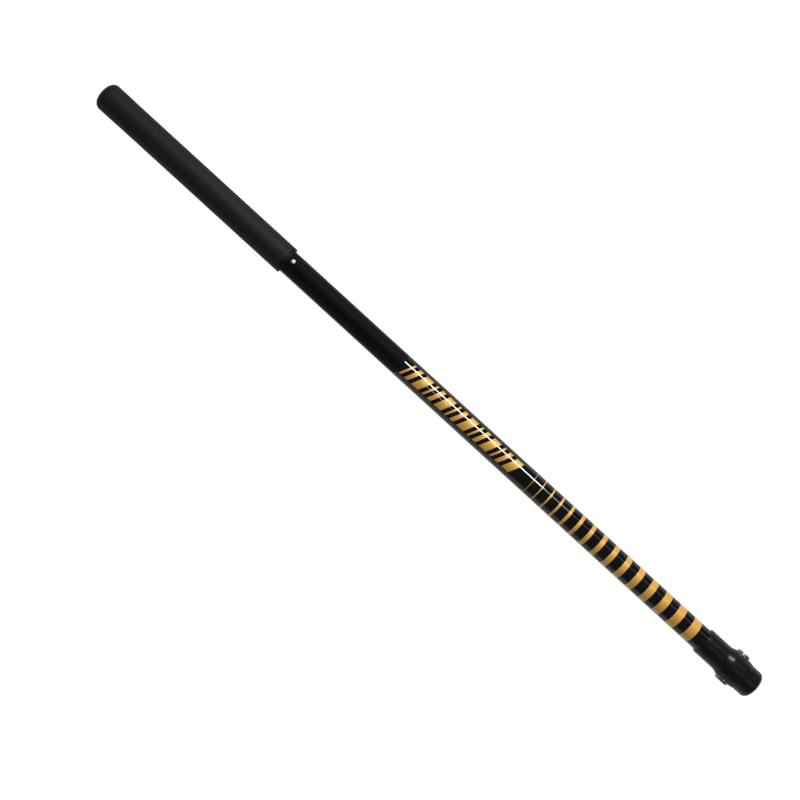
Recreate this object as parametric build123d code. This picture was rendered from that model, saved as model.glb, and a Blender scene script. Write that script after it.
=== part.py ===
from build123d import *
from math import cos, radians, sin, tan
import os

os.makedirs("parts", exist_ok=True)

# A swing trainer stick. All sizes are in millimetres.
# A station is a distance along the stick from the butt end. The part's own frame has X along
# the stick from butt to tip, +Z up, and its origin under the middle of the stick on the floor.

# Driving dimensions
LENGTH = 914.4
AXIS_HEIGHT = 17.0
SEAT_GAP = 0.02

TUBE_RADIUS = 12.7
TUBE_BORE = 11.05
TUBE_START = 9.02
TUBE_END = 908.4

GRIP_RADIUS = 15.15
GRIP_BUTT_RADIUS = 15.38
GRIP_END = 251.6
GRIP_DOME = 8.5
GRIP_FLAT_RADIUS = 4.5
DOME_FULLNESS = 0.55
GRIP_SWELL_START = 20.0
GRIP_SWELL_END = 42.0
GRIP_FLOOR = 7.0
END_RING_END = 255.3
END_RING_LIP = 1.2

BUTT_PLUG_END = 24.0
BUTT_PLUG_CUP_START = 12.0
BUTT_PLUG_WALL = 2.5
BARB_STATIONS = (11.0, 15.0, 19.0)
BARB_LENGTH = 2.0
BARB_DEPTH = 0.35

WRAP_START = 413.5
WRAP_END = 848.0
WRAP_THICKNESS = 0.14
PRINT_THICKNESS = 0.06

MOTIF_START = 416.5
MOTIF_LOW = -7.8
MOTIF_HIGH = 9.15
MOTIF_SLANT = 25.0
MOTIF_BAR_WIDTHS = (2.4, 4.8, 9.6)
MOTIF_GAP = 4.9
MOTIF_GROUPS = 5

BAND_COUNT = 15
BAND_FIRST_STATION = 594.4
BAND_FIRST_WIDTH = 0.55
BAND_WIDTH_STEP = 0.71
BAND_GAP = 10.76

RIVET_STATION = 260.4
RIVET_ANGLES = (15.5, 195.5)
RIVET_HEAD_RADIUS = 2.3
RIVET_HEAD_HEIGHT = 0.95
RIVET_SHANK_RADIUS = 1.6
RIVET_DEPTH = 7.5
MANDREL_RADIUS = 0.6
MANDREL_DEPTH = 0.7

HOLDER_START = RIVET_STATION - 14.0
HOLDER_END = RIVET_STATION + 14.0
HOLDER_RECESS_RADIUS = 6.0
HOLDER_RECESS_DEPTH = 7.5
CUP_RADIUS = 10.0
CUP_DEPTH = 6.0
CUP_WALL = 1.4
CUP_FLOOR = 1.8
MAGNET_INSET = 0.1
SCREW_RADIUS = 2.0
SCREW_HEAD_RADIUS = 4.0
SCREW_LENGTH = 14.7
SCREW_INSET = 0.3
SCREW_CROSS = (2.4, 4.0, 0.9)
SCREW_HOLE_DEPTH = 9.5
PAD_THICKNESS = 1.0

STRIKER_RADIUS = 10.3
STRIKER_LENGTH = 90.0
STRIKER_REST_GAP = 0.06
STRIKER_NOSE = 2.5
RING_WIDTH = 6.0
RING_RADIUS = 10.97
RING_SEAT_RADIUS = 9.0
RING_INSET = 8.0
RING_GROOVES = 6
RING_GROOVE_WIDTH = 2.4
RING_GROOVE_DEPTH = 1.1
RING_SPLIT = 1.2

PIN_STATION = 883.3
POST_RADIUS = 4.0
POST_CLEARANCE = 0.03
POST_BORE = 2.5
POST_BORE_END = -10.0
PIN_SEAT = 15.4
PIN_HEAD_RADIUS = 7.9
PIN_HEAD_THICKNESS = 3.95
PIN_HEAD_SIDE = 1.5
PIN_HEAD_TAPER = 0.4
PIN_HEAD_RIM = 0.6
PIN_HEAD_DISH = 0.35
PIN_SCREW_RADIUS = 2.45
PIN_SCREW_END = -8.0
HEX_ACROSS_FLATS = 4.0
HEX_DEPTH = 1.8

ANVIL_START = PIN_STATION - 18.3
ANVIL_END = 907.0
ANVIL_RECESS_RADIUS = 5.0
ANVIL_RECESS_DEPTH = 8.0

COLLAR_START = PIN_STATION - 8.5
COLLAR_END = PIN_STATION + 8.5
COLLAR_RADIUS = 14.4

BOOT_START = 840.6
BOOT_RADIUS = 14.85
BOOT_LIP = 1.6
BOOT_BULGE_RADIUS = 17.0
BOOT_TIP_RADIUS = 15.7
BOOT_CORNER = 6.0
BOOT_SEAT_RADIUS = 8.7
BOOT_POCKET_RADIUS = 8.05
FLARE_START = PIN_STATION - 18.8
FLARE_MIDDLE = (PIN_STATION - 11.3, 15.75)
FLARE_END = PIN_STATION - 6.8
WAIST_START = PIN_STATION + 7.7
WAIST_MIDDLE = (PIN_STATION + 13.1, 16.1)
WAIST_END = PIN_STATION + 17.5



def place(shape):
    """Move a shape from stations about the stick's axis into the part's own frame."""
    return Pos(-LENGTH / 2, 0, AXIS_HEIGHT) * shape


def save(shape, name):
    """Write one sub-part to its own STEP file."""
    export_step(place(shape), f"parts/{name}.step")


def round_corner(x, y, radius):
    """The arc that rounds an outline's upper right corner, from its top to its side."""
    return CenterArc((x - radius, y - radius), radius, 90, arc_size=-90)


def spin(edges):
    """Turn a closed outline, drawn as station against radius, about the stick's axis."""
    return revolve(make_face(edges), axis=Axis.X)


def turned(*points):
    """Turn a closed outline with straight sides about the stick's axis."""
    return spin(Polyline(*points, close=True).edges())


def ring(start, end, radius, bore):
    """A plain ring between two stations."""
    return turned((start, bore), (start, radius), (end, radius), (end, bore))


def rod(start, end, radius, bevel):
    """A solid bar between two stations, with a bevel round each end."""
    return turned(
        (start, 0),
        (start, radius - bevel),
        (start + bevel, radius),
        (end - bevel, radius),
        (end, radius - bevel),
        (end, 0),
    )


def disc(start, end, radius):
    """A plain disc between two stations."""
    return turned((start, 0), (start, radius), (end, radius), (end, 0))


def cross_rod(radius, low, high):
    """A bar across the stick at the pin's station, between two heights along Y."""
    bar = Cylinder(radius, high - low, align=(Align.CENTER, Align.CENTER, Align.MIN))
    return Pos(PIN_STATION, low, 0) * Rot(-90, 0, 0) * bar


def post_hole():
    """The hole that the cross post passes through, right across the stick."""
    return cross_rod(POST_RADIUS + POST_CLEARANCE, -2 * TUBE_RADIUS, 2 * TUBE_RADIUS)


def spoke(radius, low, high, station, angle):
    """A bar that points out from the stick's axis, at an angle from the top towards +Y."""
    bar = Cylinder(radius, high - low, align=(Align.CENTER, Align.CENTER, Align.MIN))
    return Pos(station, 0, 0) * Rot(-angle, 0, 0) * Pos(0, 0, low) * bar


def grip_sleeve():
    """The foam grip: a long sleeve, a little thicker at its closed and well rounded butt end."""
    bore = TUBE_RADIUS + SEAT_GAP
    rise = GRIP_FLAT_RADIUS + DOME_FULLNESS * (GRIP_BUTT_RADIUS - GRIP_FLAT_RADIUS)
    dome = Bezier(
        (0, GRIP_FLAT_RADIUS),
        (0, rise),
        ((1 - DOME_FULLNESS) * GRIP_DOME, GRIP_BUTT_RADIUS),
        (GRIP_DOME, GRIP_BUTT_RADIUS),
    )
    middle = (GRIP_SWELL_START + GRIP_SWELL_END) / 2
    butt = Line(dome @ 1, (GRIP_SWELL_START, GRIP_BUTT_RADIUS))
    taper = Bezier(
        butt @ 1,
        (middle, GRIP_BUTT_RADIUS),
        (middle, GRIP_RADIUS),
        (GRIP_SWELL_END, GRIP_RADIUS),
    )
    rest = Polyline(
        taper @ 1,
        (GRIP_END, GRIP_RADIUS),
        (GRIP_END, bore),
        (GRIP_FLOOR, bore),
        (GRIP_FLOOR, 0),
        (0, 0),
        dome @ 0,
    )
    return spin([dome, butt, taper, *rest.edges()])


def grip_end_ring():
    """The dark trim ring that closes the foam at the grip's lower end."""
    start = GRIP_END + SEAT_GAP
    bore = TUBE_RADIUS + SEAT_GAP
    lip = round_corner(END_RING_END, GRIP_RADIUS, END_RING_LIP)
    rest = Polyline(lip @ 1, (END_RING_END, bore), (start, bore), (start, GRIP_RADIUS), lip @ 0)
    return spin([lip, *rest.edges()])


def butt_plug():
    """The plastic plug that closes the tube under the grip's domed end."""
    flange_end = TUBE_START - SEAT_GAP
    body_radius = TUBE_BORE - BARB_DEPTH
    barb_radius = TUBE_BORE - SEAT_GAP
    plug = disc(GRIP_FLOOR + SEAT_GAP, flange_end, TUBE_RADIUS)
    plug += disc(flange_end, BUTT_PLUG_END, body_radius)
    for start in BARB_STATIONS:
        end = start + BARB_LENGTH
        plug += turned((start, 0), (start, barb_radius), (end, body_radius), (end, 0))
    return plug - disc(BUTT_PLUG_CUP_START, BUTT_PLUG_END, TUBE_BORE - BUTT_PLUG_WALL)


def shaft_tube():
    """The aluminium tube, drilled for the holder's rivets and for the cross pin."""
    tube = ring(TUBE_START, TUBE_END, TUBE_RADIUS, TUBE_BORE)
    for angle in RIVET_ANGLES:
        tube -= spoke(RIVET_SHANK_RADIUS + SEAT_GAP, RIVET_DEPTH, 2 * TUBE_RADIUS, RIVET_STATION, angle)
    return tube - post_hole()


def wrap_radius():
    """The outside radius of the clear film on the tube."""
    return TUBE_RADIUS + SEAT_GAP + WRAP_THICKNESS


def graphic_wrap():
    """The printed film around the lower half of the tube."""
    return ring(WRAP_START, WRAP_END, wrap_radius(), TUBE_RADIUS + SEAT_GAP)


def print_shell(start, end):
    """The thin layer that gold print takes up on the film, between two stations."""
    inner = wrap_radius() + SEAT_GAP / 2
    return ring(start, end, inner + PRINT_THICKNESS, inner)


def slanted_bar(start, width):
    """One slanted gold bar that wraps over the top of the film."""
    lean = (MOTIF_HIGH - MOTIF_LOW) * tan(radians(MOTIF_SLANT))
    outline = Polyline(
        (start, MOTIF_LOW),
        (start + width, MOTIF_LOW),
        (start + width + lean, MOTIF_HIGH),
        (start + lean, MOTIF_HIGH),
        close=True,
    )
    cutter = extrude(make_face(outline.edges()), 2 * TUBE_RADIUS)
    return print_shell(start - 1, start + width + lean + 1) & cutter


def gold_motif():
    """Groups of slanted bars that grow wider, printed along one side of the film."""
    bars = []
    start = MOTIF_START
    for group in range(MOTIF_GROUPS):
        for width in MOTIF_BAR_WIDTHS:
            bars.append(slanted_bar(start, width).solid())
            start += width + MOTIF_GAP
    return Compound(bars)


def gold_bands():
    """Gold rings that grow wider towards the tip, with equal gaps between them."""
    bands = []
    start = BAND_FIRST_STATION
    for index in range(BAND_COUNT):
        width = BAND_FIRST_WIDTH + BAND_WIDTH_STEP * index
        bands.append(print_shell(start, start + width).solid())
        start += width + BAND_GAP
    return Compound(bands)


def holder_rivet(angle):
    """One dome rivet through the tube's wall into the magnet holder."""
    base = TUBE_RADIUS + SEAT_GAP
    crown = base + RIVET_HEAD_HEIGHT
    sphere_radius = (RIVET_HEAD_RADIUS**2 + RIVET_HEAD_HEIGHT**2) / (2 * RIVET_HEAD_HEIGHT)
    turn = Pos(RIVET_STATION, 0, 0) * Rot(-angle, 0, 0)
    dome = turn * Pos(0, 0, crown - sphere_radius) * Sphere(sphere_radius)
    head = dome & spoke(RIVET_HEAD_RADIUS, base - 0.4, crown + 1, RIVET_STATION, angle)
    head -= disc(RIVET_STATION - 5, RIVET_STATION + 5, base)
    shank = spoke(RIVET_SHANK_RADIUS, RIVET_DEPTH, base + 0.2, RIVET_STATION, angle)
    mandrel_hole = spoke(MANDREL_RADIUS, crown - MANDREL_DEPTH, crown + 1, RIVET_STATION, angle)
    return head + shank - mandrel_hole


def holder_rivets():
    """The two rivets that fix the magnet holder in the tube."""
    return Compound([holder_rivet(angle).solid() for angle in RIVET_ANGLES])


def magnet_holder():
    """The aluminium plug that carries the magnet inside the tube."""
    radius = TUBE_BORE - SEAT_GAP
    pocket_start = HOLDER_END - CUP_DEPTH
    holder = rod(HOLDER_START, HOLDER_END, radius, 0.6)
    holder -= disc(pocket_start, HOLDER_END + 1, CUP_RADIUS + SEAT_GAP)
    holder -= disc(pocket_start - SCREW_HOLE_DEPTH, pocket_start + 1, SCREW_RADIUS + SEAT_GAP)
    holder -= disc(HOLDER_START - 1, HOLDER_START + HOLDER_RECESS_DEPTH, HOLDER_RECESS_RADIUS)
    for angle in RIVET_ANGLES:
        hole = RIVET_SHANK_RADIUS + SEAT_GAP
        holder -= spoke(hole, RIVET_DEPTH - 0.3, 2 * TUBE_RADIUS, RIVET_STATION, angle)
    return holder


def magnet_cup():
    """The steel pot that the ring magnet sits in."""
    start = HOLDER_END - CUP_DEPTH + SEAT_GAP
    cup = disc(start, HOLDER_END, CUP_RADIUS)
    cup -= disc(start + CUP_FLOOR, HOLDER_END + 1, CUP_RADIUS - CUP_WALL)
    return cup - disc(start - 1, start + CUP_FLOOR + 1, SCREW_RADIUS + 0.2)


def magnet_face():
    """The station of the magnet's pole face."""
    return HOLDER_END - MAGNET_INSET


def hold_magnet():
    """The ring magnet, countersunk for its screw."""
    start = HOLDER_END - CUP_DEPTH + CUP_FLOOR + 2 * SEAT_GAP
    face = magnet_face()
    hole = SCREW_RADIUS + 0.2
    sink = SCREW_HEAD_RADIUS + 0.25
    outside = CUP_RADIUS - CUP_WALL - SEAT_GAP
    return turned(
        (start, hole),
        (start, outside),
        (face, outside),
        (face, sink),
        (face - sink + hole, hole),
    )


def magnet_screw():
    """The countersunk screw that holds the magnet and its pot in the holder."""
    face = HOLDER_END - SCREW_INSET
    neck = face - SCREW_HEAD_RADIUS + SCREW_RADIUS
    start = face - SCREW_LENGTH
    bevel = 0.5
    screw = turned(
        (start, 0),
        (start, SCREW_RADIUS - bevel),
        (start + bevel, SCREW_RADIUS),
        (neck, SCREW_RADIUS),
        (face, SCREW_HEAD_RADIUS),
        (face, 0),
    )
    for turn in (0, 90):
        screw -= Pos(face, 0, 0) * Rot(turn, 0, 0) * Box(*SCREW_CROSS)
    return screw


def magnet_pad():
    """The thin rubber disc that cushions the striker against the magnet."""
    start = HOLDER_END + SEAT_GAP
    return disc(start, start + PAD_THICKNESS, CUP_RADIUS)


def striker_start():
    """The station of the striker's rear face at rest."""
    return HOLDER_END + SEAT_GAP + PAD_THICKNESS + STRIKER_REST_GAP


def ring_starts():
    """The stations where the rear and the front glide ring begin."""
    rear = striker_start() + RING_INSET
    front = striker_start() + STRIKER_LENGTH - RING_INSET - RING_WIDTH
    return rear, front


def striker_weight():
    """The steel slug that flies down the tube, with two seats for its glide rings."""
    start = striker_start()
    end = start + STRIKER_LENGTH
    nose = round_corner(end, STRIKER_RADIUS, STRIKER_NOSE)
    body = Polyline(nose @ 1, (end, 0), (start, 0), (start, STRIKER_RADIUS - 0.8))
    side = Polyline(body @ 1, (start + 0.8, STRIKER_RADIUS), nose @ 0)
    slug = spin([nose, *body.edges(), *side.edges()])
    for seat in ring_starts():
        slug -= ring(seat, seat + RING_WIDTH, STRIKER_RADIUS + 1, RING_SEAT_RADIUS)
    return slug


def glide_ring(start):
    """A split nylon ring with air grooves, snapped into a seat on the striker."""
    body = ring(start + SEAT_GAP, start + RING_WIDTH - SEAT_GAP, RING_RADIUS, RING_SEAT_RADIUS + SEAT_GAP)
    groove = Box(4 * RING_WIDTH, RING_GROOVE_WIDTH, 2 * RING_GROOVE_DEPTH)
    step = 360 / RING_GROOVES
    for index in range(RING_GROOVES):
        body -= Rot(step * (index + 0.5), 0, 0) * Pos(start, 0, RING_RADIUS) * groove
    return body - Pos(start, 0, -RING_RADIUS) * Box(4 * RING_WIDTH, RING_SPLIT, RING_WIDTH)


def anvil_plug():
    """The steel plug that the striker hits, pinned in the tube's lower end."""
    plug = rod(ANVIL_START, ANVIL_END, TUBE_BORE - SEAT_GAP, 0.8)
    plug -= post_hole()
    return plug - disc(ANVIL_END - ANVIL_RECESS_DEPTH, ANVIL_END + 1, ANVIL_RECESS_RADIUS)


def end_collar():
    """The aluminium collar around the tube that stiffens the pinned end."""
    bore = TUBE_RADIUS + SEAT_GAP
    bevel = 0.8
    collar = turned(
        (COLLAR_START, bore),
        (COLLAR_START, COLLAR_RADIUS - bevel),
        (COLLAR_START + bevel, COLLAR_RADIUS),
        (COLLAR_END - bevel, COLLAR_RADIUS),
        (COLLAR_END, COLLAR_RADIUS - bevel),
        (COLLAR_END, bore),
    )
    return collar - post_hole()


def pin_head(side):
    """A round head that tapers a little to a rolled rim and a shallow dish, on the +Y or -Y side."""
    seat = PIN_SEAT + SEAT_GAP
    top = PIN_SEAT + PIN_HEAD_THICKNESS
    corner = round_corner(PIN_HEAD_RADIUS - PIN_HEAD_TAPER, top, PIN_HEAD_RIM)
    dish_edge = PIN_HEAD_RADIUS - PIN_HEAD_TAPER - 2 * PIN_HEAD_RIM
    dish_middle = (dish_edge / 2, top - 0.75 * PIN_HEAD_DISH)
    dish = ThreePointArc((0, top - PIN_HEAD_DISH), dish_middle, (dish_edge, top))
    side_top = (PIN_HEAD_RADIUS, PIN_SEAT + PIN_HEAD_SIDE)
    base = Polyline((0, top - PIN_HEAD_DISH), (0, seat), (PIN_HEAD_RADIUS, seat), side_top, corner @ 1)
    land = Line(corner @ 0, (dish_edge, top))
    head = revolve(make_face([corner, land, dish, *base.edges()]), axis=Axis.Y)
    if side < 0:
        head = Rot(180, 0, 0) * head
    return Pos(PIN_STATION, 0, 0) * head


def cross_post():
    """The binding post: a hollow barrel through the stick with a round head on the -Y side."""
    barrel = cross_rod(POST_RADIUS, -PIN_SEAT - 0.5, PIN_SEAT - 0.1)
    bore = cross_rod(POST_BORE, POST_BORE_END, PIN_SEAT + 1)
    return pin_head(-1) + barrel - bore


def cross_screw():
    """The screw that threads into the binding post, with a matching head on the +Y side."""
    shank = cross_rod(PIN_SCREW_RADIUS, PIN_SCREW_END, PIN_SEAT + 0.5)
    socket = extrude(RegularPolygon(HEX_ACROSS_FLATS / 2, 6, major_radius=False), HEX_DEPTH + 1)
    top = PIN_SEAT + PIN_HEAD_THICKNESS - PIN_HEAD_DISH
    socket = Pos(PIN_STATION, top - HEX_DEPTH, 0) * Rot(-90, 0, 0) * socket
    return pin_head(1) + shank - socket


def boot_body():
    """The boot's turned outside, closed at the tip, with a swelling over the collar."""
    edge = Polyline(
        (BOOT_START, 0),
        (BOOT_START, BOOT_RADIUS - BOOT_LIP),
        (BOOT_START + BOOT_LIP, BOOT_RADIUS),
        (FLARE_START, BOOT_RADIUS),
    )
    level = ((1, 0), (1, 0))
    flare = Spline(edge @ 1, FLARE_MIDDLE, (FLARE_END, BOOT_BULGE_RADIUS), tangents=level)
    swell = Line(flare @ 1, (WAIST_START, BOOT_BULGE_RADIUS))
    drop = Spline(swell @ 1, WAIST_MIDDLE, (WAIST_END, BOOT_TIP_RADIUS), tangents=level)
    corner = round_corner(LENGTH, BOOT_TIP_RADIUS, BOOT_CORNER)
    tip = Line(drop @ 1, corner @ 0)
    end = Polyline(corner @ 1, (LENGTH, 0), (BOOT_START, 0))
    return spin([*edge.edges(), flare, swell, drop, tip, corner, *end.edges()])


def end_boot():
    """The rubber boot over the tube's lower end, its collar and its pinned anvil."""
    outside = 2 * BOOT_BULGE_RADIUS
    boot = boot_body() + cross_rod(BOOT_SEAT_RADIUS, -PIN_SEAT, PIN_SEAT)
    boot -= disc(BOOT_START - 1, TUBE_END + SEAT_GAP, TUBE_RADIUS + SEAT_GAP)
    boot -= disc(BOOT_START - 1, WRAP_END + 0.6, wrap_radius() + 0.1)
    boot -= disc(COLLAR_START - SEAT_GAP, COLLAR_END + SEAT_GAP, COLLAR_RADIUS + SEAT_GAP)
    boot -= post_hole()
    boot -= cross_rod(BOOT_POCKET_RADIUS, PIN_SEAT, outside)
    return boot - cross_rod(BOOT_POCKET_RADIUS, -outside, -PIN_SEAT)


save(grip_sleeve(), "grip_sleeve")
save(grip_end_ring(), "grip_end_ring")
save(butt_plug(), "butt_plug")
save(shaft_tube(), "shaft_tube")
save(graphic_wrap(), "graphic_wrap")
save(gold_motif(), "gold_motif")
save(gold_bands(), "gold_bands")
save(holder_rivets(), "holder_rivets")
save(magnet_holder(), "magnet_holder")
save(magnet_cup(), "magnet_cup")
save(hold_magnet(), "hold_magnet")
save(magnet_screw(), "magnet_screw")
save(magnet_pad(), "magnet_pad")
save(striker_weight(), "striker_weight")
save(glide_ring(ring_starts()[0]), "striker_ring_rear")
save(glide_ring(ring_starts()[1]), "striker_ring_front")
save(anvil_plug(), "anvil_plug")
save(end_collar(), "end_collar")
save(cross_post(), "cross_post")
save(cross_screw(), "cross_screw")
save(end_boot(), "end_boot")
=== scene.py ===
"""Swing trainer stick: fine meshes, materials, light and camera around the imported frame."""

import math

import bpy
from mathutils import Matrix, Vector


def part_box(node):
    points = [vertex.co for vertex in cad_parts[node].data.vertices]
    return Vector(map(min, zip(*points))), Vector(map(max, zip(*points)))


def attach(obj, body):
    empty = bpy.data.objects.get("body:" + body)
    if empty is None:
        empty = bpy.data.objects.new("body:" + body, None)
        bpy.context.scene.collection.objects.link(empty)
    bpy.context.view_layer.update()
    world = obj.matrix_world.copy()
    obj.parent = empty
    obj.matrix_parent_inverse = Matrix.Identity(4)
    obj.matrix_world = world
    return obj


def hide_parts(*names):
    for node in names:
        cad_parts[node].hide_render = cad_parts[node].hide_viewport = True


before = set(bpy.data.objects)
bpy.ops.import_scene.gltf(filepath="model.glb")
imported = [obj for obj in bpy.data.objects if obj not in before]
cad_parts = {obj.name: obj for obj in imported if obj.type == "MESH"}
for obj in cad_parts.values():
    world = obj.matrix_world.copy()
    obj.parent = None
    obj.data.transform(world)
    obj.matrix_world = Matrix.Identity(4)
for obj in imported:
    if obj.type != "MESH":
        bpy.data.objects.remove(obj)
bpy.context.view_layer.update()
MM = 0.001

# The height of the stick's axis, and where the cross pin goes through it
AXIS_Z = (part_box("shaft_tube")[0].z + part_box("shaft_tube")[1].z) / 2
PIN_X = (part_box("cross_post")[0].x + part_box("cross_post")[1].x) / 2

# The gap left between a turned sleeve and the tube inside it, and the gold ink's thickness
SLEEVE_GAP = 0.02 * MM
INK = 0.06 * MM

# The boot's sleeve and tip radii, and where its flare and its waist start and end
BOOT_SLEEVE = 14.85 * MM
BOOT_TIP = 15.7 * MM
FLARE = (PIN_X - 18.8 * MM, PIN_X - 6.8 * MM)
WAIST = (PIN_X + 7.7 * MM, PIN_X + 17.5 * MM)

# The flat round seat under each pin head: its height above the stick's axis, its pocket, the
# pad round it, the width of their edges, and how far out the boot's mesh bends round them
SEAT_HEIGHT = 15.4 * MM
SEAT_POCKET = 8.05 * MM
SEAT_PAD = 8.7 * MM
SEAT_EDGE = 0.2 * MM
SEAT_REACH = 12 * MM

# How finely the turned meshes are cut
TURN_STEPS = 192
ARC_STEPS = 8


def radius_of(node):
    """A turned node's outside radius, from its box."""
    low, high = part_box(node)
    return (high.z - low.z) / 2


def span_of(node):
    """Where a node starts and ends along the stick."""
    low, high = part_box(node)
    return low.x, high.x


# ---------------------------------------------------------------- meshes


def even_angles(steps=TURN_STEPS):
    """Angles round the stick, from the top towards +Y."""
    return [2 * math.pi * i / steps for i in range(steps)]


def corner(x, r, size, start, sweep=-90, steps=ARC_STEPS):
    """Points of an arc about (x, r), in degrees from +X towards larger radius."""
    points = []
    for i in range(steps + 1):
        turn = math.radians(start + sweep * i / steps)
        points.append((x + size * math.cos(turn), r + size * math.sin(turn)))
    return points


def curve(a, b, c, d, steps=24):
    """Points along the cubic curve from a to d that heads for b and arrives from c."""
    points = []
    for i in range(steps + 1):
        t = i / steps
        shares = ((1 - t) ** 3, 3 * t * (1 - t) ** 2, 3 * t * t * (1 - t), t**3)
        x = sum(share * point[0] for share, point in zip(shares, (a, b, c, d)))
        r = sum(share * point[1] for share, point in zip(shares, (a, b, c, d)))
        points.append((x, r))
    return points


def smooth_step(low, high, value):
    """0 below low, 1 above high, and an S-shaped rise between them."""
    t = min(1.0, max(0.0, (value - low) / (high - low)))
    return t * t * (3 - 2 * t)


def add_turned(verts, faces, outline, angles, reshape=None):
    """Turn one closed outline of (x, radius) points about the stick's axis into verts and faces."""
    rings = []
    for x, r in outline:
        ring = []
        if r < 1e-9:
            verts.append((x, 0, AXIS_Z))
            ring = [len(verts) - 1] * len(angles)
        else:
            for angle in angles:
                px, pr, turn = reshape(x, r, angle) if reshape else (x, r, angle)
                verts.append((px, pr * math.sin(turn), AXIS_Z + pr * math.cos(turn)))
                ring.append(len(verts) - 1)
        rings.append(ring)
    for i, ring in enumerate(rings):
        following = rings[(i + 1) % len(rings)]
        for j in range(len(angles)):
            k = (j + 1) % len(angles)
            loop = dict.fromkeys([ring[j], following[j], following[k], ring[k]])
            if len(loop) > 2:
                faces.append(tuple(loop))


def make_piece(name, verts, faces, body, nodes, material, sharp=35):
    """A mesh piece that stands for CAD nodes, rides on a body and has one material."""
    mesh = bpy.data.meshes.new(name)
    mesh.from_pydata(verts, [], faces)
    mesh.validate()
    for polygon in mesh.polygons:
        polygon.use_smooth = True
    mesh.set_sharp_from_angle(angle=math.radians(sharp))
    mesh.materials.append(material)
    piece = bpy.data.objects.new(name, mesh)
    bpy.context.scene.collection.objects.link(piece)
    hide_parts(*nodes)
    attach(piece, body)
    return piece


def turned_piece(name, outlines, node, material, angles=None, reshape=None):
    """A piece made of one or more turned outlines, standing for one node of the shaft."""
    verts, faces = [], []
    for outline in outlines:
        add_turned(verts, faces, outline, angles or even_angles(), reshape)
    return make_piece(name, verts, faces, "shaft", [node], material)


# ---------------------------------------------------------------- materials


class Paint:
    """A node material on one Principled shader, with short calls for its textures."""

    def __init__(self, name, **settings):
        self.material = bpy.data.materials.new(name)
        self.material.use_nodes = True
        self.tree = self.material.node_tree
        self.shader = self.tree.nodes["Principled BSDF"]
        for key, value in settings.items():
            self.shader.inputs[key.replace("_", " ")].default_value = value
        self.place = self.node("ShaderNodeTexCoord").outputs["Object"]
        self.bumps = None

    def node(self, kind, **inputs):
        """A new node with some of its inputs set or linked."""
        made = self.tree.nodes.new(kind)
        for key, value in inputs.items():
            socket = made.inputs[key.replace("_", " ")]
            if isinstance(value, bpy.types.NodeSocket):
                self.tree.links.new(value, socket)
            else:
                socket.default_value = value
        return made

    def stretched(self, x, y, z):
        """Object coordinates stretched by three factors."""
        made = self.node("ShaderNodeMapping", Vector=self.place)
        made.inputs["Scale"].default_value = (x, y, z)
        return made.outputs["Vector"]

    def noise(self, scale, detail=3.0, place=None, roughness=0.55):
        """Noise with so many features to the metre."""
        made = self.node(
            "ShaderNodeTexNoise",
            Vector=place or self.place,
            Scale=scale,
            Detail=detail,
            Roughness=roughness,
        )
        return made.outputs["Fac"]

    def pores(self, scale):
        """Small rounded cells, so many to the metre."""
        made = self.node("ShaderNodeTexVoronoi", Vector=self.place, Scale=scale)
        return made.outputs["Distance"]

    def ramp(self, value, *stops):
        """Map a value to colours: stops are (position, colour)."""
        made = self.node("ShaderNodeValToRGB", Fac=value)
        ramp = made.color_ramp
        while len(ramp.elements) < len(stops):
            ramp.elements.new(0.5)
        for element, (position, colour) in zip(ramp.elements, stops):
            element.position = position
            element.color = (*colour, 1)
        return made.outputs["Color"]

    def spread(self, value, low, high):
        """Map a value from 0..1 to low..high."""
        made = self.node("ShaderNodeMapRange", Value=value, To_Min=low, To_Max=high)
        return made.outputs["Result"]

    def colour(self, socket):
        self.tree.links.new(socket, self.shader.inputs["Base Color"])

    def roughness(self, socket):
        self.tree.links.new(socket, self.shader.inputs["Roughness"])

    def bump(self, height, depth, strength=1.0):
        """Add relief: depth is in metres."""
        made = self.node("ShaderNodeBump", Height=height, Distance=depth, Strength=strength)
        if self.bumps is not None:
            self.tree.links.new(self.bumps, made.inputs["Normal"])
        self.bumps = made.outputs["Normal"]
        self.tree.links.new(self.bumps, self.shader.inputs["Normal"])


def grey(value, warmth=0.0):
    """A grey that leans a little warm or cool."""
    return (value * (1 + warmth), value, value * (1 - warmth))


def foam_material():
    """Closed-cell grip foam: matt, with fine pores and a slight cloudiness."""
    paint = Paint("grip_foam", Specular_IOR_Level=0.22)
    cloud = paint.noise(55, detail=4)
    paint.colour(paint.ramp(cloud, (0.3, grey(0.0052, 0.02)), (0.7, grey(0.0075, 0.03))))
    paint.roughness(paint.spread(paint.noise(900), 0.56, 0.68))
    paint.bump(paint.pores(1500), 0.00006, 0.6)
    paint.bump(paint.noise(2600, detail=2), 0.00003, 0.5)
    return paint.material


def tube_material():
    """Black anodised tube: nearly matt, with faint drawing lines along its length."""
    paint = Paint("black_tube", Specular_IOR_Level=0.07, Sheen_Weight=0.8, Sheen_Roughness=0.33)
    lines = paint.noise(1500, detail=2, place=paint.stretched(0.02, 1, 1))
    paint.colour(paint.ramp(lines, (0.35, grey(0.0008, 0.12)), (0.65, grey(0.0014, 0.12))))
    paint.roughness(paint.spread(paint.noise(120), 0.58, 0.68))
    paint.bump(lines, 0.000012, 0.5)
    return paint.material


def film_material():
    """The clear glossy film over a black ground."""
    paint = Paint("black_film", Specular_IOR_Level=0.42)
    paint.colour(paint.ramp(paint.noise(90), (0.3, grey(0.0018)), (0.7, grey(0.003))))
    paint.roughness(paint.spread(paint.noise(60), 0.035, 0.06))
    paint.bump(paint.noise(260, detail=1), 0.0000015, 0.5)
    return paint.material


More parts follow.
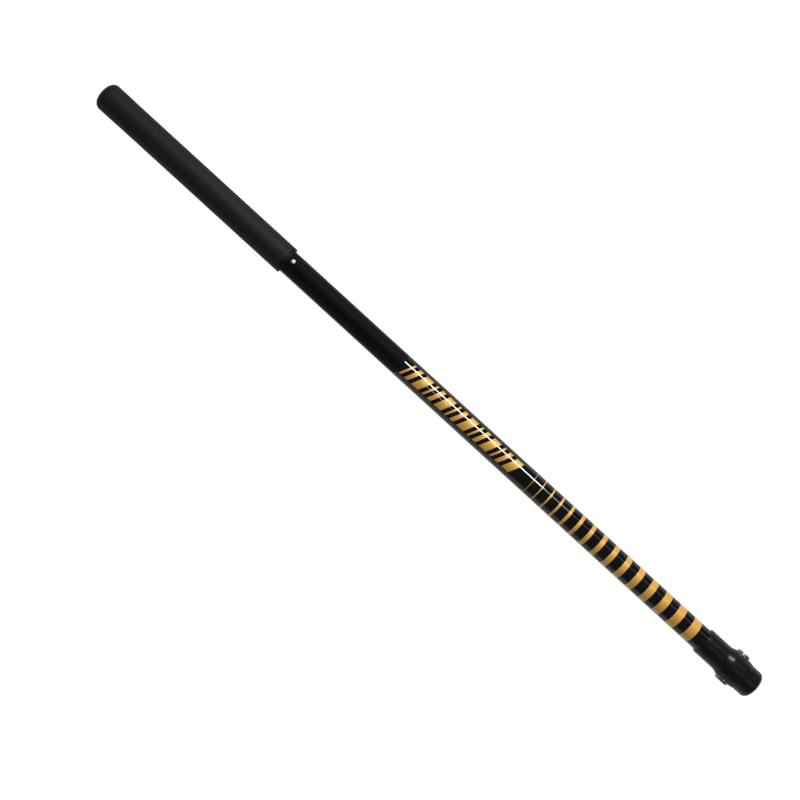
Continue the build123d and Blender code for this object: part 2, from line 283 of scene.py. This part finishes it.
def gold_material():
    """Gold ink with a fine metallic grain, under the same gloss as the film."""
    paint = Paint("gold_print", Metallic=0.12, Coat_Weight=0.75, Coat_Roughness=0.04)
    grain = paint.noise(2400, detail=2)
    paint.colour(paint.ramp(grain, (0.3, (0.61, 0.32, 0.047)), (0.7, (0.76, 0.41, 0.066))))
    paint.roughness(paint.spread(paint.noise(1200), 0.42, 0.55))
    paint.bump(grain, 0.000004, 0.4)
    return paint.material


def rubber_material():
    """Moulded rubber: semi-matt, with a fine mould grain."""
    paint = Paint("black_rubber", Specular_IOR_Level=0.22, Sheen_Weight=0.25, Sheen_Roughness=0.3)
    cloud = paint.noise(130, detail=3)
    paint.colour(paint.ramp(cloud, (0.3, (0.0034, 0.0044, 0.0036)), (0.7, (0.0052, 0.0062, 0.0053))))
    paint.roughness(paint.spread(paint.noise(700), 0.25, 0.34))
    paint.bump(paint.noise(1800, detail=2), 0.00001, 0.5)
    return paint.material


def plastic_material():
    """Black moulded plastic."""
    paint = Paint("black_plastic", Specular_IOR_Level=0.12)
    paint.colour(paint.ramp(paint.noise(200), (0.3, grey(0.0028)), (0.7, grey(0.0045))))
    paint.roughness(paint.spread(paint.noise(900), 0.45, 0.6))
    paint.bump(paint.noise(1500), 0.00001, 0.4)
    return paint.material


def nylon_material():
    """Off-white machined nylon."""
    paint = Paint("white_nylon", Subsurface_Weight=0.1)
    paint.colour(paint.ramp(paint.noise(300), (0.3, (0.70, 0.68, 0.60)), (0.7, (0.80, 0.78, 0.71))))
    paint.roughness(paint.spread(paint.noise(600), 0.4, 0.52))
    paint.bump(paint.noise(2400, place=paint.stretched(1, 0.1, 0.1)), 0.00001, 0.4)
    return paint.material


def metal_material(name, dark, light, rough, lines):
    """Bare metal with turning lines round the stick's axis."""
    paint = Paint(name, Metallic=1.0)
    turning = paint.noise(lines, detail=2, place=paint.stretched(1, 0.02, 0.02))
    paint.colour(paint.ramp(turning, (0.3, dark), (0.7, light)))
    paint.roughness(paint.spread(paint.noise(250), rough, rough + 0.08))
    paint.bump(turning, 0.000006, 0.5)
    return paint.material


def polished_material(name, shade, rough):
    """Polished plated metal with faint handling marks."""
    paint = Paint(name, Metallic=1.0)
    marks = paint.noise(700, detail=4)
    paint.colour(paint.ramp(marks, (0.35, grey(shade, 0.01)), (0.7, grey(1.2 * shade, 0.01))))
    paint.roughness(paint.spread(marks, rough, rough + 0.08))
    paint.bump(paint.noise(1800, detail=3), 0.000003, 0.4)
    return paint.material


def rivet_material():
    """Bright aluminium with a satin bloom, so that the whole dome catches the light."""
    paint = Paint("bright_rivet", Metallic=0.8)
    marks = paint.noise(900, detail=3)
    paint.colour(paint.ramp(marks, (0.3, grey(0.84, 0.01)), (0.7, grey(0.93, 0.01))))
    paint.roughness(paint.spread(marks, 0.3, 0.42))
    paint.bump(paint.noise(2400, detail=3), 0.000004, 0.4)
    return paint.material


# ---------------------------------------------------------------- pieces


def grip_piece(material):
    """The foam grip, a little thicker at its well rounded butt end, with an eased lower edge."""
    start, end = span_of("grip_sleeve")
    butt, outside = radius_of("grip_sleeve"), radius_of("grip_end_ring")
    bore = radius_of("shaft_tube") + SLEEVE_GAP
    dome, flat, floor, lip, hold = 8.5 * MM, 4.5 * MM, 7.0 * MM, 0.4 * MM, 2 * MM
    fullness = 0.55
    rise = flat + fullness * (butt - flat)
    ease = start + (1 - fullness) * dome
    swell = (start + 20 * MM, start + 42 * MM)
    middle = sum(swell) / 2
    outline = [(start, 0)]
    outline += curve((start, flat), (start, rise), (ease, butt), (start + dome, butt))
    outline += curve((swell[0], butt), (middle, butt), (middle, outside), (swell[1], outside))
    outline += [(swell[1] + hold, outside), (end - lip - hold, outside)]
    outline += corner(end - lip, outside - lip, lip, 90, steps=4)
    outline += [(end, bore), (start + floor, bore), (start + floor, 0)]
    return turned_piece("foam_grip", [outline], "grip_sleeve", material)


def end_ring_piece(material):
    """The dark trim ring at the foam's lower end, with a rounded outer edge."""
    start, end = span_of("grip_end_ring")
    outside = radius_of("grip_end_ring")
    bore = radius_of("shaft_tube") + SLEEVE_GAP
    edge, lip = 0.25 * MM, 1.2 * MM
    outline = [(start, bore)] + corner(start + edge, outside - edge, edge, 180, steps=4)
    outline += corner(end - lip, outside - lip, lip, 90, steps=12)
    outline += [(end, bore + edge), (end - edge, bore)]
    return turned_piece("end_ring", [outline], "grip_end_ring", material)


def tube_piece(material):
    """The round tube, open at both ends under the grip and the boot."""
    start, end = span_of("shaft_tube")
    outside = radius_of("shaft_tube")
    wall, edge, hold = 1.65 * MM, 0.3 * MM, 1.0 * MM
    bore = outside - wall
    outline = [
        (start, bore),
        (start, outside - edge),
        (start + edge, outside),
        (start + hold, outside),
        (end - hold, outside),
        (end - edge, outside),
        (end, outside - edge),
        (end, bore),
    ]
    return turned_piece("round_tube", [outline], "shaft_tube", material)


def film_piece(material):
    """The glossy film, with a softly rounded edge where it starts."""
    start, end = span_of("graphic_wrap")
    outside = radius_of("graphic_wrap")
    inside = radius_of("shaft_tube") + SLEEVE_GAP
    edge, hold = outside - inside, 0.6 * MM
    outline = corner(start + edge, inside, edge, 180, steps=4)
    outline += [(start + hold, outside), (end - hold, outside), (end, outside), (end, inside)]
    return turned_piece("glossy_film", [outline], "graphic_wrap", material)


def print_outline(start, end):
    """The section of a gold ring: a thin layer on the film with eased edges."""
    outside = radius_of("gold_bands")
    inside = outside - INK
    edge = 0.04 * MM
    return [
        (start, inside),
        (start + edge, outside),
        (end - edge, outside),
        (end, inside),
    ]


def bands_piece(material):
    """The gold rings: each wider than the last, with equal gaps."""
    count, first_width, step = 15, 0.55 * MM, 0.71 * MM
    low, high = span_of("gold_bands")
    widths = [first_width + step * i for i in range(count)]
    gap = (high - low - sum(widths)) / (count - 1)
    outlines = []
    start = low
    for width in widths:
        outlines.append(print_outline(start, start + width))
        start += width + gap
    return turned_piece("band_print", outlines, "gold_bands", material)


def add_slanted_bar(verts, faces, start, width, low, high, slant):
    """One thin bar wrapped over the film, leaning towards the tip as it nears +Y."""
    outside = radius_of("gold_bands")
    inside = outside - INK
    first, steps = len(verts), 24
    for i in range(steps + 1):
        y = low + (high - low) * i / steps
        lean = (y - low) * slant
        for r in (outside, inside):
            angle = math.asin(y / outside)
            place = (r * math.sin(angle), AXIS_Z + r * math.cos(angle))
            verts.append((start + lean, *place))
            verts.append((start + lean + width, *place))
    for i in range(steps):
        a, b = first + 4 * i, first + 4 * (i + 1)
        faces.append((a, a + 1, b + 1, b))
        faces.append((a + 3, a + 2, b + 2, b + 3))
        faces.append((a + 2, a, b, b + 2))
        faces.append((a + 1, a + 3, b + 3, b + 1))
    faces.append((first + 1, first, first + 2, first + 3))
    last = first + 4 * steps
    faces.append((last, last + 1, last + 3, last + 2))


def motif_piece(material):
    """Groups of slanted gold bars along one side of the film."""
    box_low, box_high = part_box("gold_motif")
    slant = math.tan(math.radians(25))
    groups, widths, gap = 5, (2.4 * MM, 4.8 * MM, 9.6 * MM), 4.9 * MM
    verts, faces = [], []
    start = box_low.x
    for width in groups * widths:
        add_slanted_bar(verts, faces, start, width, box_low.y, box_high.y, slant)
        start += width + gap
    return make_piece("bar_print", verts, faces, "shaft", ["gold_motif"], material)


def seat_lines():
    """Distances from a pin's axis where the boot's mesh has lines, closer at the seat's edges."""
    pocket_rim, pad_rim = SEAT_POCKET + SEAT_EDGE, SEAT_PAD + SEAT_EDGE
    stops = (0, SEAT_POCKET, pocket_rim, SEAT_PAD, pad_rim, SEAT_REACH)
    steps_between = (8, 3, 3, 3, 8)
    lines = []
    for low, high, steps in zip(stops, stops[1:], steps_between):
        lines += [low + (high - low) * (i + 1) / steps for i in range(steps)]
    return [-line for line in reversed(lines)] + [0.0] + lines


def boot_radius(x, swell):
    """The radius of the boot's outside, from its sleeve through its flare and waist to its tip."""
    flared = smooth_step(*FLARE, x) ** 2
    narrowed = smooth_step(*WAIST, x)
    return BOOT_SLEEVE + (swell - BOOT_SLEEVE) * flared + (BOOT_TIP - swell) * narrowed


def boot_outline(start, end, swell):
    """The boot's section: bore, rounded lip, flare, swelling, waist and rounded tip."""
    corner_size, lip, floor, play, steps = 6.0 * MM, 1.6 * MM, 6.0 * MM, 0.1 * MM, 12
    bore = radius_of("graphic_wrap") + play
    flare_start, waist_end = FLARE[0], WAIST[1]
    flare_length = PIN_X - SEAT_REACH - flare_start
    waist_length = waist_end - PIN_X - SEAT_REACH
    # Two lines hold the sleeve straight between its lip and the flare
    stations = [start + 6 * MM, flare_start - 4 * MM]
    stations += [flare_start + flare_length * i / steps for i in range(steps)]
    stations += [PIN_X + line for line in seat_lines()]
    stations += [waist_end - waist_length * (1 - (i + 1) / steps) for i in range(steps)]
    outer = [(start, bore)] + corner(start + lip, BOOT_SLEEVE - lip, lip, 180)
    outer += [(x, boot_radius(x, swell)) for x in stations]
    outer += corner(end - corner_size, BOOT_TIP - corner_size, corner_size, 90, steps=16)
    outer.append((end, 0))
    return outer + [(end - floor, 0), (end - floor, bore)]


def boot_angles():
    """Angles round the boot: one for each seat line at +Y and -Y, and even steps between."""
    half = [math.atan2(SEAT_HEIGHT, -line) for line in seat_lines()]
    last, steps = half[-1], 30
    gap = math.pi + half[0] - last
    half += [last + gap * (i + 1) / steps for i in range(steps - 1)]
    return half + [angle + math.pi for angle in half]


def boot_piece(material):
    """The rubber boot, with a flat round seat in its swelling under each pin head."""
    start, end = span_of("end_boot")
    swell = radius_of("end_boot")
    pocket_rim, pad_rim = SEAT_POCKET + SEAT_EDGE, SEAT_PAD + SEAT_EDGE
    side_on, on_axis = 0.5, 0.001 * MM

    def shape_seat(x, r, angle):
        """Bend the mesh's lines into circles round the pin, then sink the pocket in its pad."""
        side = math.sin(angle)
        if abs(side) < side_on:
            return x, r, angle
        along, across = x - PIN_X, SEAT_HEIGHT * math.cos(angle) / abs(side)
        square = max(abs(along), abs(across))
        if square > SEAT_REACH:
            return x, r, angle
        if square < on_axis:
            return x, SEAT_HEIGHT, angle
        bend = min(1, (SEAT_REACH - square) / (SEAT_REACH - pad_rim))
        scale = 1 + bend * (square / math.hypot(along, across) - 1)
        along, across = along * scale, across * scale
        reach = math.hypot(along, across)
        flat = math.hypot(SEAT_HEIGHT, across)
        body = boot_radius(PIN_X + along, swell)
        raised = max(body, flat)
        outside = raised + (body - raised) * smooth_step(SEAT_PAD, pad_rim, reach)
        sunk = flat + (outside - flat) * smooth_step(SEAT_POCKET, pocket_rim, reach)
        return PIN_X + along, sunk, math.atan2(math.copysign(SEAT_HEIGHT, side), across)

    return turned_piece(
        "rubber_boot",
        [boot_outline(start, end, swell)],
        "end_boot",
        material,
        angles=boot_angles(),
        reshape=shape_seat,
    )


def repaint(node, material):
    """Give a CAD node a finished material."""
    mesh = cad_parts[node].data
    mesh.materials.clear()
    mesh.materials.append(material)


def make_pieces():
    """Every visible piece, and the materials of the CAD nodes that stay."""
    gold, rubber = gold_material(), rubber_material()
    steel = metal_material("turned_steel", grey(0.42), grey(0.56), 0.28, 1500)
    aluminium = metal_material("turned_aluminium", grey(0.66), grey(0.78), 0.3, 1200)
    polished = polished_material("polished_heads", 0.27, 0.24)
    plastic = plastic_material()
    grip_piece(foam_material())
    end_ring_piece(plastic)
    tube_piece(tube_material())
    film_piece(film_material())
    bands_piece(gold)
    motif_piece(gold)
    boot_piece(rubber)
    nylon = nylon_material()
    finishes = {
        "butt_plug": plastic,
        "holder_rivets": rivet_material(),
        "magnet_holder": aluminium,
        "magnet_cup": steel,
        "hold_magnet": polished_material("nickel_plate", 0.62, 0.12),
        "magnet_screw": steel,
        "magnet_pad": rubber,
        "striker_weight": steel,
        "striker_ring_rear": nylon,
        "striker_ring_front": nylon,
        "anvil_plug": steel,
        "end_collar": aluminium,
        "cross_post": polished,
        "cross_screw": polished,
    }
    for node, material in finishes.items():
        repaint(node, material)


# ---------------------------------------------------------------- stage, light and camera


def seen_or_reflected(tree, seen, reflected):
    """A strength that is one value where the camera looks and another in reflections."""
    rays = tree.nodes.new("ShaderNodeLightPath")
    strength = tree.nodes.new("ShaderNodeMapRange")
    strength.inputs["To Min"].default_value = reflected
    strength.inputs["To Max"].default_value = seen
    tree.links.new(rays.outputs["Is Camera Ray"], strength.inputs["Value"])
    return strength.outputs["Result"]


def make_floor():
    """A wide pale floor, lit so evenly that shadows on it stay faint."""
    size = 12.0
    corners = [(-size, -size, 0), (size, -size, 0), (size, size, 0), (-size, size, 0)]
    mesh = bpy.data.meshes.new("floor")
    mesh.from_pydata(corners, [], [(0, 1, 2, 3)])
    floor = bpy.data.objects.new("floor", mesh)
    bpy.context.scene.collection.objects.link(floor)
    paint = Paint("pale_floor", Base_Color=(0.2, 0.2, 0.2, 1), Roughness=0.9)
    paint.shader.inputs["Specular IOR Level"].default_value = 0.0
    paint.shader.inputs["Emission Color"].default_value = (1, 1, 1, 1)
    strength = seen_or_reflected(paint.tree, 0.97, 0.55)
    paint.tree.links.new(strength, paint.shader.inputs["Emission Strength"])
    mesh.materials.append(paint.material)


def make_world():
    """White where the camera looks past the floor, and nearly black in reflections."""
    world = bpy.data.worlds.new("studio")
    bpy.context.scene.world = world
    world.use_nodes = True
    backdrop = world.node_tree.nodes["Background"]
    backdrop.inputs["Color"].default_value = (1, 1, 1, 1)
    strength = seen_or_reflected(world.node_tree, 1.0, 0.14)
    world.node_tree.links.new(strength, backdrop.inputs["Strength"])


def make_light(name, place, target, size, radiance):
    """A rectangular light, aimed at a point, with its long side along the stick."""
    light = bpy.data.lights.new(name, "AREA")
    light.shape = "RECTANGLE"
    light.size, light.size_y = size
    light.energy = radiance * math.pi * size[0] * size[1]
    made = bpy.data.objects.new(name, light)
    made.visible_camera = False
    bpy.context.scene.collection.objects.link(made)
    back = (place - target).normalized()
    along = Vector((1, 0, 0))
    up = back.cross(along).normalized()
    side = up.cross(back).normalized()
    turn = Matrix((side, up, back)).transposed()
    made.matrix_world = Matrix.Translation(place) @ turn.to_4x4()


def strip_light(name, low_x, high_x, lean, distance, width, radiance):
    """A strip light along the stick, leaning from straight overhead towards +Y."""
    lean = math.radians(lean)
    middle = (low_x + high_x) / 2
    target = Vector((middle, 0, AXIS_Z))
    place = target + distance * Vector((0, math.sin(lean), math.cos(lean)))
    make_light(name, place, target, (high_x - low_x, width), radiance)


def make_lights():
    """One long strip light towards +Y, which dims at its tip end, and small soft lights."""
    lean, distance, width = 44.5, 1.5, 0.26
    strip_light("strip", -0.30, 0.374, lean, distance, width, 40)
    strip_light("strip_end", 0.374, 0.45, lean, distance, width, 7)
    strip_light("strip_glow", 0.45, 0.86, lean, distance, width, 1.1)
    overhead = 1.4
    strip_light("small_overhead", 0.05, 0.12, 11, overhead, 0.08, 14)
    strip_light("tip_overhead", 0.80, 1.60, 0, overhead, 0.3, 0.9)
    strip_light("pin_overhead", 0.82, 1.05, 1, overhead, 0.10, 2.5)
    low_card, middle = Vector((0, -2.2, 0.25)), Vector((0, 0, AXIS_Z))
    make_light("low_card", low_card, middle, (4.0, 0.6), 0.45)
    butt_side, grip = Vector((-1.5, 0, 1.0)), Vector((-0.3, 0, AXIS_Z))
    make_light("butt_side", butt_side, grip, (0.6, 0.6), 1.2)


def make_camera():
    """The camera looks down on the stick, turned and tilted as the photograph shows it."""
    turn, tilt = math.radians(42.371), math.radians(2.5)
    distance, view_width, sensor = 1.6, 0.8281, 36.0
    aim = Vector((-0.0201, -0.0278, AXIS_Z))
    data = bpy.data.cameras.new("camera")
    data.sensor_width = sensor
    data.lens = sensor * distance / view_width
    data.clip_start, data.clip_end = 0.05, 60
    camera = bpy.data.objects.new("camera", data)
    bpy.context.scene.collection.objects.link(camera)
    look = Matrix.Rotation(-tilt, 3, "Y") @ Matrix.Rotation(turn, 3, "Z")
    place = aim + look @ Vector((0, 0, distance))
    camera.matrix_world = Matrix.Translation(place) @ look.to_4x4()
    bpy.context.scene.camera = camera


make_pieces()
make_floor()
make_world()
make_lights()
make_camera()
bpy.context.scene.view_settings.view_transform = "Standard"

bpy.context.view_layer.update()
